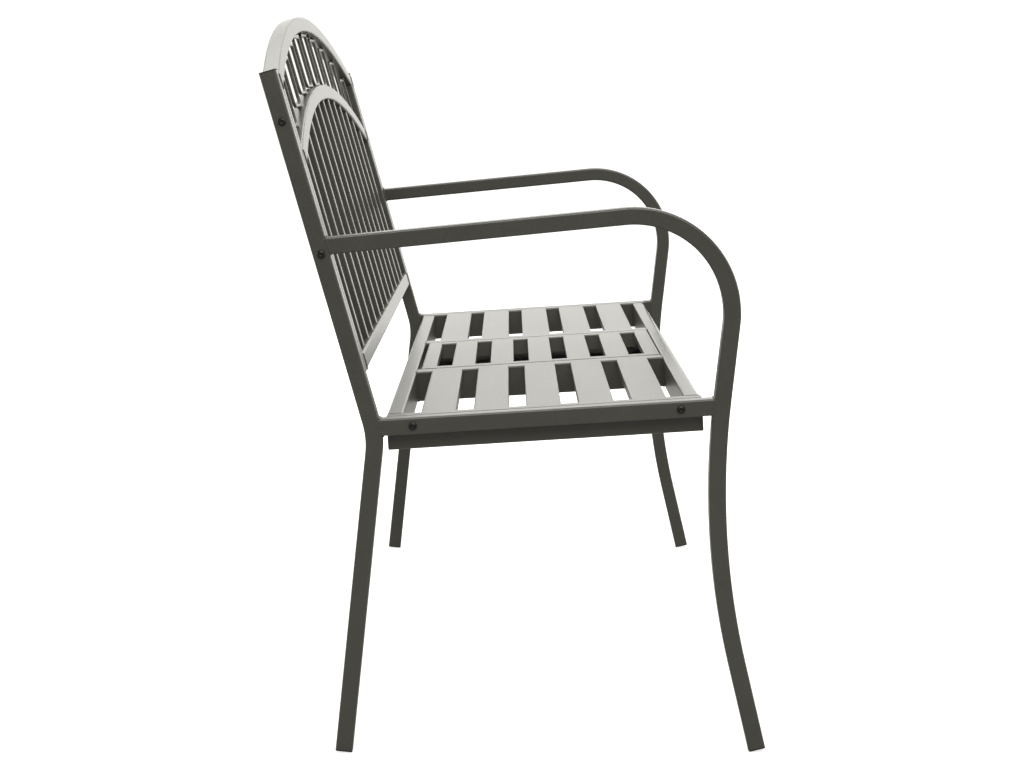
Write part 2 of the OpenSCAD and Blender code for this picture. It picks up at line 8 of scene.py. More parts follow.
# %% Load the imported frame
import math
import bpy
import numpy as np
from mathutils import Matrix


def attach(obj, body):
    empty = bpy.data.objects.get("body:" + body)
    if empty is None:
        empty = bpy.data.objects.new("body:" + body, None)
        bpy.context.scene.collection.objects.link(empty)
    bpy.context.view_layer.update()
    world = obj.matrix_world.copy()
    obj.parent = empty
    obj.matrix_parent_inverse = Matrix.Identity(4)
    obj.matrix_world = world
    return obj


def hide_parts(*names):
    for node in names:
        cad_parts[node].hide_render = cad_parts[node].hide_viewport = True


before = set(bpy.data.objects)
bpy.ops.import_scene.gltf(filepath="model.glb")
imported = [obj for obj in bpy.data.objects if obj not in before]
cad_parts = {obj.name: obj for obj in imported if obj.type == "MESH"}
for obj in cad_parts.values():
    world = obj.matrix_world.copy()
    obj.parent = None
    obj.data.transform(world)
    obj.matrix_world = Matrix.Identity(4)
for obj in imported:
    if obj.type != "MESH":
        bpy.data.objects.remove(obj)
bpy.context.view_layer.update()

# %% [markdown]
# ## Places
#
# Nothing on the bench is upright or level: the back leans, the seat tips back, and the side frames
# stand in planes of constant x. So each panel gets its own small coordinate system, and one function
# turns it into the bench's: x along the bench, y to the back, z up.

# %% Sizes of the stock and the three coordinate systems
TUBE = 22.0             # square tube of the side frames and the back
CORNER = 3.0            # outside radius of the tube's corners
HALF = 625.0            # half the length over the side frames
PANEL = HALF - TUBE     # where the back and seat panels start
FRAME_X = HALF - TUBE / 2
SHEET = 1.5             # folded sheet of the slats
BUTT = 0.1              # a tube that runs into another is this much slimmer, so no faces share a plane
TUCK = 2.5              # how far the end of a welded piece runs into its neighbour
KNEE = np.array([170.7, 412.0])   # bend of the rear leg, as y and z before centring
RAKE = math.radians(15.7)         # lean of the back
TILT = math.radians(3.5)          # tip of the seat
SEAT_Z = 446.0                    # height of the seat's top in the middle of its depth
CENTRE_Y = 1.7296                 # what centres the depth on the origin


def side_at(x, yz):
    """Point of a side frame: its y and z, moved to the plane at x."""
    yz = np.atleast_2d(yz)
    return np.c_[np.full(len(yz), x), yz[:, 0] - CENTRE_Y, yz[:, 1]]


def back_at(x, s, w=0.0):
    """Point of the back: x, s up the posts from their bend, w forwards of the posts' middle."""
    x, s, w = np.broadcast_arrays(np.float64(x), s, w)
    y = KNEE[0] + s * math.sin(RAKE) - w * math.cos(RAKE) - CENTRE_Y
    return np.stack([x, y, KNEE[1] + s * math.cos(RAKE) + w * math.sin(RAKE)], -1)


def seat_at(x, u, w=0.0):
    """Point of the seat: x, u to the back in the seat's plane, w up from the seat's top."""
    x, u, w = np.broadcast_arrays(np.float64(x), u, w)
    y = u * math.cos(TILT) + w * math.sin(TILT) - CENTRE_Y
    return np.stack([x, y, SEAT_Z - u * math.sin(TILT) + w * math.cos(TILT)], -1)


X = np.array([1.0, 0.0, 0.0])
UP_BACK = back_at(0, 1.0) - back_at(0, 0.0)
OUT_BACK = back_at(0, 0, 1.0) - back_at(0, 0, 0.0)
REAR_SEAT = seat_at(0, 1.0) - seat_at(0, 0.0)
UP_SEAT = seat_at(0, 0, 1.0) - seat_at(0, 0, 0.0)
print("back leans", round(math.degrees(RAKE), 1), "degrees, seat tips", round(math.degrees(TILT), 1))

# %% [markdown]
# ## Surfaces
#
# Almost every part of the bench is a constant section drawn or rolled along a line, so one function
# carries a profile along a path. It also knows the true normal of the profile at each point. Those
# normals go into the mesh, so that a flat side looks flat right up to where the rounded corner
# starts, with few faces. A shell is a list of points and of face groups with a normal per corner.

# %% Profiles
def rounded(w, h, r, steps=6):
    """Rectangle w by h, anticlockwise: corner centre + r * (cos a, sin a) over a quarter turn each."""
    radii = np.broadcast_to(r, 4)
    turn = np.radians(np.linspace(0, 90, steps + 1))
    points, normals = [], []
    for k, (sx, sy) in enumerate([(1, 1), (-1, 1), (-1, -1), (1, -1)]):
        n = np.c_[np.cos(turn + k * math.pi / 2), np.sin(turn + k * math.pi / 2)]
        points.append([sx * (w / 2 - radii[k]), sy * (h / 2 - radii[k])] + radii[k] * n)
        normals.append(n)
    return np.vstack(points), np.vstack(normals)


def circle(d, steps=24):
    """Circle of diameter d: d / 2 * (cos a, sin a)."""
    a = np.linspace(0, 2 * math.pi, steps, endpoint=False)
    n = np.c_[np.cos(a), np.sin(a)]
    return n * d / 2, n


# %% Carry a profile along a path
def quads(rows, cols, wrap_rows, wrap_cols):
    """Corner numbers of the faces between neighbours of a rows by cols grid of points."""
    i = np.arange(rows if wrap_rows else rows - 1)[:, None]
    j = np.arange(cols if wrap_cols else cols - 1)[None, :]
    a, b = i * cols + j, i * cols + (j + 1) % cols
    c, d = (i + 1) % rows * cols + (j + 1) % cols, (i + 1) % rows * cols + j
    return np.stack([a, b, c, d], -1).reshape(-1, 4)


def carry(profile, path, side, up, grow=0.0, lean=0.0, closed=False):
    """Point (i, j) = path[i] + side[i] * p[j].x + up[i] * p[j].y, with p grown along its normals by
    grow[i]. lean[i] tips the surface's normal from square to the path towards the way ahead. The last
    item is 1 on the middle of a rounded corner and 0 on the flats: (2 * n.x * n.y) ** 2."""
    points, normals = profile
    n = len(path)
    side, up = np.broadcast_to(side, (n, 3)), np.broadcast_to(up, (n, 3))
    grow, lean = np.broadcast_to(grow, n), np.broadcast_to(lean, n)
    ahead = np.cross(side, up)
    across = normals[None, :, :1] * side[:, None] + normals[None, :, 1:] * up[:, None]
    body = points[None, :, :1] * side[:, None] + points[None, :, 1:] * up[:, None]
    v = path[:, None] + body + across * grow[:, None, None]
    nv = across * np.cos(lean)[:, None, None] + ahead[:, None] * np.sin(lean)[:, None, None]
    faces = quads(n, len(points), closed, True)
    if np.sum((path[1] - path[0]) * ahead[0]) < 0:
        faces = faces[:, ::-1]
    v, nv = v.reshape(-1, 3), nv.reshape(-1, 3)
    groups = [(faces, nv[faces])]
    if not closed:
        way = path[1] - path[0], path[-1] - path[-2]
        ring = np.arange(len(points))
        turned = np.sum(way[0] * ahead[0]) < 0
        for first, ids, out in ((True, ring, -way[0]), (False, ring + (n - 1) * len(points), way[1])):
            ids = ids[::-1] if first != turned else ids
            flat = np.broadcast_to(out / np.linalg.norm(out), (1, len(ids), 3))
            groups.append((ids[None], flat))
    return v, groups, np.tile(np.square(2 * normals[:, 0] * normals[:, 1]), n)


def straight(profile, a, b, side, up, edge=0.0, steps=3, ends=(True, True)):
    """A straight bar from a to b. An end's edge is rounded: over a quarter turn t it stands
    edge * (1 - cos t) in from the end, and the profile is drawn in by edge * (1 - sin t)."""
    a, b = np.asarray(a, float), np.asarray(b, float)
    length = np.linalg.norm(b - a)
    t = np.radians(np.linspace(0, 90, steps + 1))
    at, grow, lean = edge * (1 - np.cos(t)), -edge * (1 - np.sin(t)), -(np.pi / 2 - t)
    sign = 1 if np.sum(np.cross(side, up) * (b - a)) > 0 else -1
    start, stop = ([0.0], [0.0], [0.0]), ([length], [0.0], [0.0])
    if edge and ends[0]:
        start = (at, grow, lean)
    if edge and ends[1]:
        stop = (length - at[::-1], grow[::-1], -lean[::-1])
    along, grow, lean = (np.concatenate(pair) for pair in zip(start, stop))
    return carry(profile, a + (b - a) * along[:, None] / length, side, up, grow, sign * lean)


def lathe(outline, centre, axis, steps=40):
    """Turned part: outline rows are (radius, height, slope of the normal from outwards towards the
    axis, in degrees), and point (i, j) = centre + axis * height + radius * (cos a, sin a)."""
    r, h, slope = np.asarray(outline, float).T
    axis = np.asarray(axis, float) / np.linalg.norm(axis)
    e1 = np.cross(axis, [0.13, 0.91, 0.39])
    e1 /= np.linalg.norm(e1)
    a = np.linspace(0, 2 * math.pi, steps, endpoint=False)
    out = np.cos(a)[:, None] * e1 + np.sin(a)[:, None] * np.cross(axis, e1)
    v = centre + axis * h[:, None, None] + out * np.maximum(r, 0.02)[:, None, None]
    tip = np.radians(slope)
    nv = out * np.cos(tip)[:, None, None] + axis * np.sin(tip)[:, None, None]
    faces = quads(len(r), steps, False, True)
    v, nv = v.reshape(-1, 3), nv.reshape(-1, 3)
    ring = np.arange(steps)
    ends = [(ring[::-1][None], np.broadcast_to(-axis, (1, steps, 3))),
            ((ring + (len(r) - 1) * steps)[None], np.broadcast_to(axis, (1, steps, 3)))]
    return v, [(faces, nv[faces])] + ends, np.zeros(len(v))


# %% Put shells into a mesh
def make(name, shells, body, finish, stands_for=()):
    """One mesh object from shells, in metres, with the worked-out normals set on its face corners."""
    faces, normals, points, edges, start = [], [], [], [], 0
    for v, groups, edge in shells:
        points.append(v)
        edges.append(edge)
        for ids, nv in groups:
            faces.extend((ids + start).tolist())
            normals.append(np.asarray(nv).reshape(-1, 3))
        start += len(v)
    mesh = bpy.data.meshes.new(name)
    mesh.from_pydata((np.vstack(points) / 1000).tolist(), [], faces)
    mesh.polygons.foreach_set("use_smooth", np.ones(len(faces), bool))
    mesh.normals_split_custom_set(np.vstack(normals).tolist())
    mesh.attributes.new("edge", "FLOAT", "POINT").data.foreach_set("value", np.concatenate(edges))
    mesh.materials.append(finish)
    piece = bpy.data.objects.new(name, mesh)
    bpy.context.scene.collection.objects.link(piece)
    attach(piece, body)
    if stands_for:
        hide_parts(*stands_for)
    return piece


def flip(shell):
    """Mirror image in the plane x = 0, with the faces turned so that they still look outwards."""
    v, groups, edge = shell
    m = np.array([-1.0, 1.0, 1.0])
    return v * m, [(ids[:, ::-1], (np.asarray(nv) * m)[:, ::-1]) for ids, nv in groups], edge

# %% [markdown]
# ## Finishes
#
# The steel is dipped, dried and sprayed with polyester powder, then baked: a closed film about 80
# micrometres thick, dark bronze grey, with a satin shine. Powder melts into low humps, the orange
# peel, so a reflection in it is soft and slightly broken. Seen along the surface it turns almost
# white, because any varnish mirrors its surroundings at a flat angle. That comes from the shader's
# own Fresnel term and needs no paint.

# %% Colour and node helpers
def srgb(text):
    """A hex colour as the linear values that shaders use."""
    c = np.array([int(text[i:i + 2], 16) for i in (1, 3, 5)]) / 255
    return (*np.where(c <= 0.04045, c / 12.92, ((c + 0.055) / 1.055) ** 2.4).tolist(), 1.0)


def add(tree, kind, settings=None, **inputs):
    """Adds a node, sets its properties, and gives each input a value or another node's output. An
    underscore in an input's name stands for a space, and _0 or _1 for an input known by its number."""
    made = tree.nodes.new(kind)
    for key, value in (settings or {}).items():
        setattr(made, key, value)
    for key, value in inputs.items():
        socket = made.inputs[int(key[1:])] if key[0] == "_" else made.inputs[key.replace("_", " ")]
        if isinstance(value, bpy.types.NodeSocket):
            tree.links.new(value, socket)
        else:
            socket.default_value = value
    return made


def mixed(tree, factor, first, second):
    """Colour that goes from first to second by factor; either is a hex colour or a node's output."""
    mix = add(tree, "ShaderNodeMix", {"data_type": "RGBA"}, Factor=factor)
    for number, colour in ((6, first), (7, second)):
        if isinstance(colour, str):
            mix.inputs[number].default_value = srgb(colour)
        else:
            tree.links.new(colour, mix.inputs[number])
    return mix.outputs[2]


def finish(name, **surface):
    """An empty material with a Principled surface and the object's own coordinates to draw from."""
    material = bpy.data.materials.new(name)
    material.use_nodes = True
    tree = material.node_tree
    shader = tree.nodes["Principled BSDF"]
    for key, value in surface.items():
        shader.inputs[key.replace("_", " ")].default_value = value
    return material, tree, shader, add(tree, "ShaderNodeTexCoord").outputs["Object"]


# %% Powder coat
# Polyester powder coat in bronze grey, sprayed on dry and baked. It gives a dark satin skin that
# drifts a little in tone, with fine specks where grains of powder didn't quite flow out.
powder, tree, shader, place = finish("powder_coat_bronze_grey", IOR=1.5)
drift = add(tree, "ShaderNodeTexNoise", Vector=place, Scale=1 / 0.070, Detail=3.0, Roughness=0.55)
fleck = add(tree, "ShaderNodeTexNoise", Vector=place, Scale=1 / 0.0016, Detail=2.0)
tone = add(tree, "ShaderNodeMapRange", Value=drift.outputs["Fac"], From_Min=0.3, From_Max=0.7)
hue = mixed(tree, tone.outputs["Result"], "#31302b", "#36352f")
speck = add(tree, "ShaderNodeMapRange", Value=fleck.outputs["Fac"], From_Min=0.35, From_Max=0.75,
            To_Min=0.0, To_Max=0.35)
coat = mixed(tree, speck.outputs["Result"], hue, "#403f38")
# Light spots 3 mm apart, only where the tube is rounded: partly chips where the corners have been knocked,
# partly painted highlight glinting along the rounded edges
corner = add(tree, "ShaderNodeAttribute", {"attribute_name": "edge"})
edge_spot_noise = add(tree, "ShaderNodeTexNoise", Vector=place, Scale=1 / 0.0030, Detail=4.0, Roughness=0.7)
chip_and_glint_spots = add(tree, "ShaderNodeMapRange", Value=edge_spot_noise.outputs["Fac"], From_Min=0.66, From_Max=0.70)
chip_and_glint_mask = add(tree, "ShaderNodeMath", {"operation": "MULTIPLY"}, _0=chip_and_glint_spots.outputs["Result"],
           _1=corner.outputs["Fac"])
# The pale colour on the corners is partly bare steel at chips and partly painted highlight
chip_and_glint_colour = mixed(tree, chip_and_glint_mask.outputs["Value"], coat, "#8a897f")
tree.links.new(chip_and_glint_colour, shader.inputs["Base Color"])
gloss = add(tree, "ShaderNodeMapRange", Value=fleck.outputs["Fac"], From_Min=0.3, From_Max=0.7,
            To_Min=0.30, To_Max=0.38)
tree.links.new(gloss.outputs["Result"], shader.inputs["Roughness"])
# Orange peel: humps 2.2 mm apart; the finer grain of the powder, really 0.05 mm, is drawn at 0.5 mm
peel = add(tree, "ShaderNodeTexNoise", Vector=place, Scale=1 / 0.0022, Detail=1.0, Roughness=0.4)
grain = add(tree, "ShaderNodeTexNoise", Vector=place, Scale=1 / 0.0005, Detail=1.0)
fine = add(tree, "ShaderNodeBump", Strength=0.10, Distance=0.00003, Height=grain.outputs["Fac"])
humps = add(tree, "ShaderNodeBump", Strength=0.25, Distance=0.00006, Height=peel.outputs["Fac"],
            Normal=fine.outputs["Normal"])
tree.links.new(humps.outputs["Normal"], shader.inputs["Normal"])

# %% Moulded black plastic of the plugs and rollers
# Black polyethylene, injection moulded in a spark-eroded mould. The mould leaves a fine even grain,
# really about 0.1 mm and drawn at 0.8 mm, and the soft plastic has a waxy, nearly matt sheen.
plastic, tree, shader, place = finish("polyethylene_moulded_black", IOR=1.45)
spark = add(tree, "ShaderNodeTexNoise", Vector=place, Scale=1 / 0.0008, Detail=2.0)
shade = mixed(tree, spark.outputs["Fac"], "#090909", "#111110")
tree.links.new(shade, shader.inputs["Base Color"])
matt = add(tree, "ShaderNodeMapRange", Value=spark.outputs["Fac"], To_Min=0.55, To_Max=0.72)
tree.links.new(matt.outputs["Result"], shader.inputs["Roughness"])
skin = add(tree, "ShaderNodeBump", Strength=0.3, Distance=0.00004, Height=spark.outputs["Fac"])
tree.links.new(skin.outputs["Normal"], shader.inputs["Normal"])

# %% Zinc plating of rivets and rivet nuts
# Bright zinc, plated in a bath and passivated. It gives a pale grey metal whose shine clouds over in
# patches about 4 mm across.
zinc, tree, shader, place = finish("zinc_plated_steel", Metallic=1.0)
cloud = add(tree, "ShaderNodeTexNoise", Vector=place, Scale=1 / 0.004, Detail=4.0)
plate = mixed(tree, cloud.outputs["Fac"], "#a3a39d", "#c6c6c1")
tree.links.new(plate, shader.inputs["Base Color"])
dull = add(tree, "ShaderNodeMapRange", Value=cloud.outputs["Fac"], To_Min=0.28, To_Max=0.46)
tree.links.new(dull.outputs["Result"], shader.inputs["Roughness"])

# %% Black oxide of the socket screws
# Black oxide on steel, grown in hot salts and oiled. It is nearly black, with a low metallic shine
# that is broken where the oil lies unevenly, about every millimetre.
black, tree, shader, place = finish("black_oxide_steel", Metallic=0.6)
smut = add(tree, "ShaderNodeTexNoise", Vector=place, Scale=1 / 0.0012, Detail=3.0)
oil = mixed(tree, smut.outputs["Fac"], "#131312", "#1f1f1d")
tree.links.new(oil, shader.inputs["Base Color"])
sheen = add(tree, "ShaderNodeMapRange", Value=smut.outputs["Fac"], To_Min=0.25, To_Max=0.42)
tree.links.new(sheen.outputs["Result"], shader.inputs["Roughness"])
print("finishes:", [m.name for m in (powder, plastic, zinc, black)])


# %% The usual kind of piece
def coated(name, shells, *stands_for, body="bench_frame"):
    """A powder coated piece, which takes the place of the CAD nodes named, if there are any."""
    return make(name, shells, body, powder, stands_for)


# %% [markdown]
# ## Side frames
#
# A side frame is two bent tubes and a rail: the rear leg that bends into the post of the back, the
# arm that bends into the front leg, and the straight rail beside the seat. A tube bender leaves an
# arc that meets the straights without a kink, so the path is written as a bender's list: so far
# straight, then so many degrees over such a radius.

# %% Path of a bent tube
def bender(corners, radii, rings):
    """Path through the corners with an arc of the given radius at each inner one: the arc starts
    r * tan(turn / 2) before the corner. Gives points and headings, in the side frame's plane."""
    corners = np.asarray(corners, float)
    legs = np.diff(corners, axis=0)
    heads = np.unwrap(np.arctan2(legs[:, 1], legs[:, 0]))
    points, angles = [corners[0]], [heads[0]]
    for k, (r, count) in enumerate(zip(radii, rings)):
        turn = heads[k + 1] - heads[k]
        way = np.array([math.cos(heads[k]), math.sin(heads[k])])
        left = np.array([-way[1], way[0]]) * np.sign(turn)
        centre = corners[k + 1] - way * r * math.tan(abs(turn) / 2) + left * r
        a = heads[k] + turn * np.linspace(0, 1, count)
        points.extend(centre + r * np.sign(turn) * np.c_[np.sin(a), -np.cos(a)])
        angles.extend(a)
    points.append(corners[-1])
    angles.append(heads[-1])
    return np.array(points), np.array(angles)


def bent_tube(x, corners, radii, rings, slim=0.0):
    """The square tube carried along a bender's path in the plane at x."""
    points, a = bender(corners, radii, rings)
    up = np.c_[np.zeros(len(a)), -np.sin(a), np.cos(a)]
    return carry(rounded(TUBE - slim, TUBE - slim, CORNER), side_at(x, points), -X, up)


# %% Corners of the two bent tubes
def down(point, rake, z):
    """Follows a line from a point down to height z; it leans by rake degrees."""
    return np.array([point[0] + (point[1] - z) * math.tan(math.radians(rake)), z])


PLUG = 2.0                             # thickness of a plug's flange
POST = 478.0                           # from the rear leg's bend to the top of its cap
REAR_LEG, FRONT_LEG, FRONT_FOOT = 6.2, 6.0, 13.5   # how far each stretch of leg leans, in degrees
FRONT_BEND_Z = 286.5                   # height of the front leg's slow bend
REAR_R, ARM_R, FRONT_R = 110, 124, 1023            # bending radii on the tube's middle
RAIL_FRONT, RAIL_REAR = -263.5, 169.0  # ends of the seat rail, inside the legs
ARM_TUCK = 3.0                         # how far the arm's end runs into the post


def foot_height(rake):
    """Height of the middle of a leg's square cut end: plug * cos(rake) + tube / 2 * sin(rake)."""
    return PLUG * math.cos(math.radians(rake)) + TUBE / 2 * math.sin(math.radians(rake))


rear_foot = down(KNEE, REAR_LEG, foot_height(REAR_LEG))
post_way = np.array([math.sin(RAKE), math.cos(RAKE)])
post_top = KNEE + (POST - PLUG) * post_way
arm_corner = np.array([-295.2, 706.6])
front_knee = down(arm_corner, FRONT_LEG, FRONT_BEND_Z)
front_foot = down(front_knee, -FRONT_FOOT, foot_height(FRONT_FOOT))
ARM = math.radians(5.6)                # fall of the arm towards the back
arm_way = np.array([math.cos(ARM), -math.sin(ARM)])
# Where the arm's line meets the post's; the arm stops short of there by half a tube less its tuck
reach = np.linalg.solve(np.c_[arm_way, -post_way], KNEE - arm_corner)
arm_start = arm_corner + arm_way * (reach[0] - (TUBE / 2 - ARM_TUCK) / math.cos(RAKE - ARM))
slim = rounded(TUBE - BUTT, TUBE - BUTT, CORNER)
slimmer = rounded(TUBE - 2 * BUTT, TUBE - 2 * BUTT, CORNER)
SIDES = ((-1, "left"), (1, "right"))
for side, name in SIDES:
    x = side * FRAME_X
    post = bent_tube(x, [rear_foot, KNEE, post_top], [REAR_R], [14])
    coated(f"{name}_post_tube", [post], f"{name}_rear_post")
    arm = bent_tube(x, [arm_start, arm_corner, front_knee, front_foot], [ARM_R, FRONT_R], [44, 22], BUTT)
    coated(f"{name}_arm_tube", [arm], f"{name}_arm_leg")
    rail = straight(slimmer, seat_at(x, RAIL_FRONT, -TUBE / 2), seat_at(x, RAIL_REAR, -TUBE / 2), X, UP_SEAT)
    coated(f"{name}_rail_tube", [rail], f"{name}_seat_rail")
print("arm starts at", arm_start.round(1), "front foot at", front_foot.round(1))

# %% [markdown]
# Each open end of the tube is shut by a moulded plug with a thin flange. On the legs it is also the
# foot, and on the posts it closes the top against rain.

# %% Plugs
SPIGOT, SPIGOT_R, SPIGOT_LEN = 18.4, 1.8, 12.0


def plug(x, end, way):
    """A flange as wide as the tube with rounded edges, and a spigot inside the tube."""
    way = np.array([0, *(way / np.linalg.norm(way))])
    at = side_at(x, end)[0]
    up = np.cross(X, way)
    flange = straight(rounded(TUBE, TUBE, CORNER), at, at + way * PLUG, X, up, 0.6, 3, (False, True))
    spigot = straight(rounded(SPIGOT, SPIGOT, SPIGOT_R), at - way * SPIGOT_LEN, at, X, up, 1.0)
    return [flange, spigot]


legs = ((rear_foot, KNEE), (front_foot, front_knee))
feet = [piece for x in (-FRAME_X, FRAME_X) for end, knee in legs for piece in plug(x, end, end - knee)]
make("foot_plug_set", feet, "bench_frame", plastic, ["foot_plugs"])
caps = [piece for x in (-FRAME_X, FRAME_X) for piece in plug(x, post_top, post_way)]
make("post_cap_set", caps, "bench_frame", plastic, ["post_caps"])
print("plugs:", len(feet) // 2, "feet and", len(caps) // 2, "caps")

# %% [markdown]
# ## Back
#
# Two arches of the same tube, rolled to the same radius, so that the gap between them stays even.
# Upright slats of smaller tube run from the straight bottom rail to the inner arch, and closed loops
# of round rod fill the band between the arches.

# %% Arches
RISE = 89.0             # rise of the top arch over its span
TOP, INNER, BOTTOM = 562.0, 457.0, 93.0   # crowns of the arches and middle of the rail, up the posts
ARCH_R = (PANEL ** 2 + RISE ** 2) / (2 * RISE)


def arch_at(x, s, inset=0.0):
    """Height along the posts of a circle through s in the middle, inset towards its centre."""
    return s - ARCH_R + np.sqrt((ARCH_R - inset) ** 2 - np.square(x))


def arch(s, half_span, rings=72):
    """Tube whose middle runs half a tube under the circle: centre + R * (sin a, cos a)."""
    a = np.linspace(-1, 1, rings) * math.asin(half_span / (ARCH_R - TUBE / 2))
    r = ARCH_R - TUBE / 2
    path = back_at(r * np.sin(a), s - ARCH_R + r * np.cos(a))
    outward = np.sin(a)[:, None] * X + np.cos(a)[:, None] * UP_BACK
    return carry(slim, path, outward, OUT_BACK)


edge_x = PANEL - TUBE + TUCK
coated("top_arch_tube", [arch(TOP, PANEL + TUCK)], "back_top_arch")
coated("inner_arch_tube", [arch(INNER, edge_x)], "back_inner_arch")
bottom = straight(slim, back_at(-edge_x, BOTTOM), back_at(edge_x, BOTTOM), UP_BACK, OUT_BACK)
coated("bottom_rail_tube", [bottom], "back_bottom_rail")
print("arches are rolled to", round(ARCH_R), "mm")

# %% Stiles and slats
SLATS, SLAT, SLAT_CORNER = 12, 15.0, 2.0
STILE_TUCK, SLAT_TUCK, SLAT_FOOT = 8.0, 7.0, 3.0   # how far square ends run into sloping arches and rail
pitch = 2 * (PANEL - TUBE / 2) / (SLATS + 1)
slat_places = [(i - (SLATS + 1) / 2) * pitch for i in range(1, SLATS + 1)]
for side, name in SIDES:
    x = side * (PANEL - TUBE / 2)
    top = arch_at(x, TOP, TUBE) + STILE_TUCK
    stile = straight(slimmer, back_at(x, BOTTOM - TUBE / 2), back_at(x, top), X, OUT_BACK, 0.8, 2)
    coated(f"{name}_stile_tube", [stile], f"{name}_back_stile")
for i, x in enumerate(slat_places, 1):
    foot, top = BOTTOM + TUBE / 2 - SLAT_FOOT, arch_at(x, INNER, TUBE) + SLAT_TUCK
    section = rounded(SLAT, SLAT, SLAT_CORNER, 5)
    slat = straight(section, back_at(x, foot), back_at(x, top), X, OUT_BACK)
    coated(f"back_slat_tube_{i}", [slat], f"back_slat_{i}")
print("back slats stand", round(pitch - SLAT, 1), "mm apart")

# %% Rod loops
LOOPS, LOOP_PITCH = 9, 126.0
LOOP, ROD, BEND = 80.0, 5.0, 11.0      # width over the rod's middle, rod, bend on the rod's middle
REACH = LOOP / 2 - BEND + 2            # from a loop's middle to where it rests
loop_places = [(i - LOOPS // 2) * LOOP_PITCH for i in range(LOOPS)]


def rests(x):
    """Heights of the two arches where a loop with its middle at x touches them. The arches fall off to
    the sides, so it stands on its end nearest the middle and touches above at its far end."""
    return arch_at(max(0.0, abs(x) - REACH), INNER), arch_at(abs(x) + REACH, TOP, TUBE)


def loop(x):
    """Closed rod: a rounded rectangle whose foot stands on the inner arch and whose head touches the
    top arch. The rod's middle runs along the rectangle, and its section turns with it."""
    under, over = rests(x)
    low, high = under + ROD / 2, over - ROD / 2
    points, normals = rounded(LOOP, high - low, BEND, 10)
    path = back_at(x + points[:, 0], (low + high) / 2 + points[:, 1])
    outward = normals[:, :1] * X + normals[:, 1:] * UP_BACK
    return carry(circle(ROD, 16), path, outward, OUT_BACK, closed=True)


coated("rod_loop_set", [loop(x) for x in loop_places], "back_loops")
print("rod loops:", len(loop_places))

# %% [markdown]
# ## Seat
#
# The seat is a welded frame of deep rectangular tube, hung between the side frames by screws. The
# front tube has a well rounded upper edge, so that it doesn't press under the knees. The slats are
# sheet folded down along both long edges, which makes thin steel stiff enough to sit on.

# %% Frame of the seat panel
REAR, FRONT = 158.5, -245.0            # edges of the seat, from its middle
WALL, DEEP = 21.0, 44.0                # width and depth of its tubes
SIDE_IN = PANEL - WALL
GAP_IN, GAP_OUT = 161.0, 191.0         # faces of the tubes beside the table
IN_REAR, IN_FRONT = REAR - WALL, FRONT + WALL
FRONT_CORNERS = (CORNER, 8.0, 4.0, CORNER)   # rounder at the front, most of all at the upper edge
mid = -DEEP / 2                        # middle of the tubes, down from the seat's top
long_end = SIDE_IN + TUCK
for name, u, section in (("rear", REAR - WALL / 2, rounded(WALL, DEEP - BUTT, CORNER)),
                         ("front", FRONT + WALL / 2, rounded(WALL, DEEP - BUTT, FRONT_CORNERS, 10))):
    bar = straight(section, seat_at(-long_end, u, mid), seat_at(long_end, u, mid), REAR_SEAT, UP_SEAT)
    coated(f"seat_{name}_tube", [bar], f"seat_{name}_rail")
for side, name in SIDES:
    x = side * (PANEL - WALL / 2)
    outer = straight(rounded(WALL, DEEP, CORNER), seat_at(x, FRONT, mid), seat_at(x, REAR, mid),
                     X, UP_SEAT, 1.5)
    coated(f"seat_{name}_side_tube", [outer], f"seat_{name}_side")
    x = side * (GAP_IN + GAP_OUT) / 2
    inner = straight(rounded(GAP_OUT - GAP_IN, DEEP - 2 * BUTT, 2.5), seat_at(x, IN_FRONT - TUCK, mid),
                     seat_at(x, IN_REAR + TUCK, mid), X, UP_SEAT)
    coated(f"{name}_divider_tube", [inner], f"{name}_divider")
print("seat frame is", REAR - FRONT, "mm from front to rear")


# %% Folded slats
def fold(width, lip, left_lip=None, sheet=SHEET, r=2.2, steps=5):
    """Closed section of a folded sheet, anticlockwise from the right lip's foot: up the outside and
    over the top with bends of radius r, down the other side, and back along the inside, where the
    bends have radius r less the sheet."""
    left_lip = lip if left_lip is None else left_lip
    t = np.radians(np.linspace(0, 90, steps + 1))
    n = np.c_[np.cos(t), np.sin(t)]
    h = width / 2
    right = np.vstack([[[h, -lip]], [h - r, -r] + r * n])
    right_n = np.vstack([[[1, 0]], n])
    mirror = np.array([-1, 1])
    left = (right * mirror)[::-1]
    left[-1, 1] = -left_lip
    inside = np.vstack([[[-h + sheet, -left_lip]], ([h - r, -r] + (r - sheet) * n) * mirror])
    inside_n = np.vstack([[[1, 0]], -n * mirror])
    back = (inside * mirror)[::-1]
    back[-1, 1] = -lip
    points = np.vstack([right, left, inside, back])
    normals = np.vstack([right_n, (right_n * mirror)[::-1], inside_n, (inside_n * mirror)[::-1]])
    return points, normals


SLAT_W, LIP, COUNT = 45.0, 12.0, 5     # width and folded edge of a seat slat, and how many
SLAT_LAP = 2.0                         # how far a slat's end runs into the tube beside it
space = (IN_REAR - IN_FRONT - COUNT * SLAT_W) / (COUNT + 1)
for i in range(1, COUNT + 1):
    u = IN_REAR - space * i - SLAT_W * (i - 0.5)
    slat = straight(fold(SLAT_W, LIP), seat_at(GAP_OUT - SLAT_LAP, u, -1.5 * BUTT),
                    seat_at(SIDE_IN + SLAT_LAP, u, -1.5 * BUTT), REAR_SEAT, UP_SEAT)
    coated(f"right_slat_{i}", [slat], f"right_seat_slat_{i}")
    coated(f"left_slat_{i}", [flip(slat)], f"left_seat_slat_{i}")
print("seat slats lie", round(space, 1), "mm apart")

# %% [markdown]
# ## Table
#
# The table is made like the seat, but narrower in everything, and it lies between the two dividers
# with a gap all round.

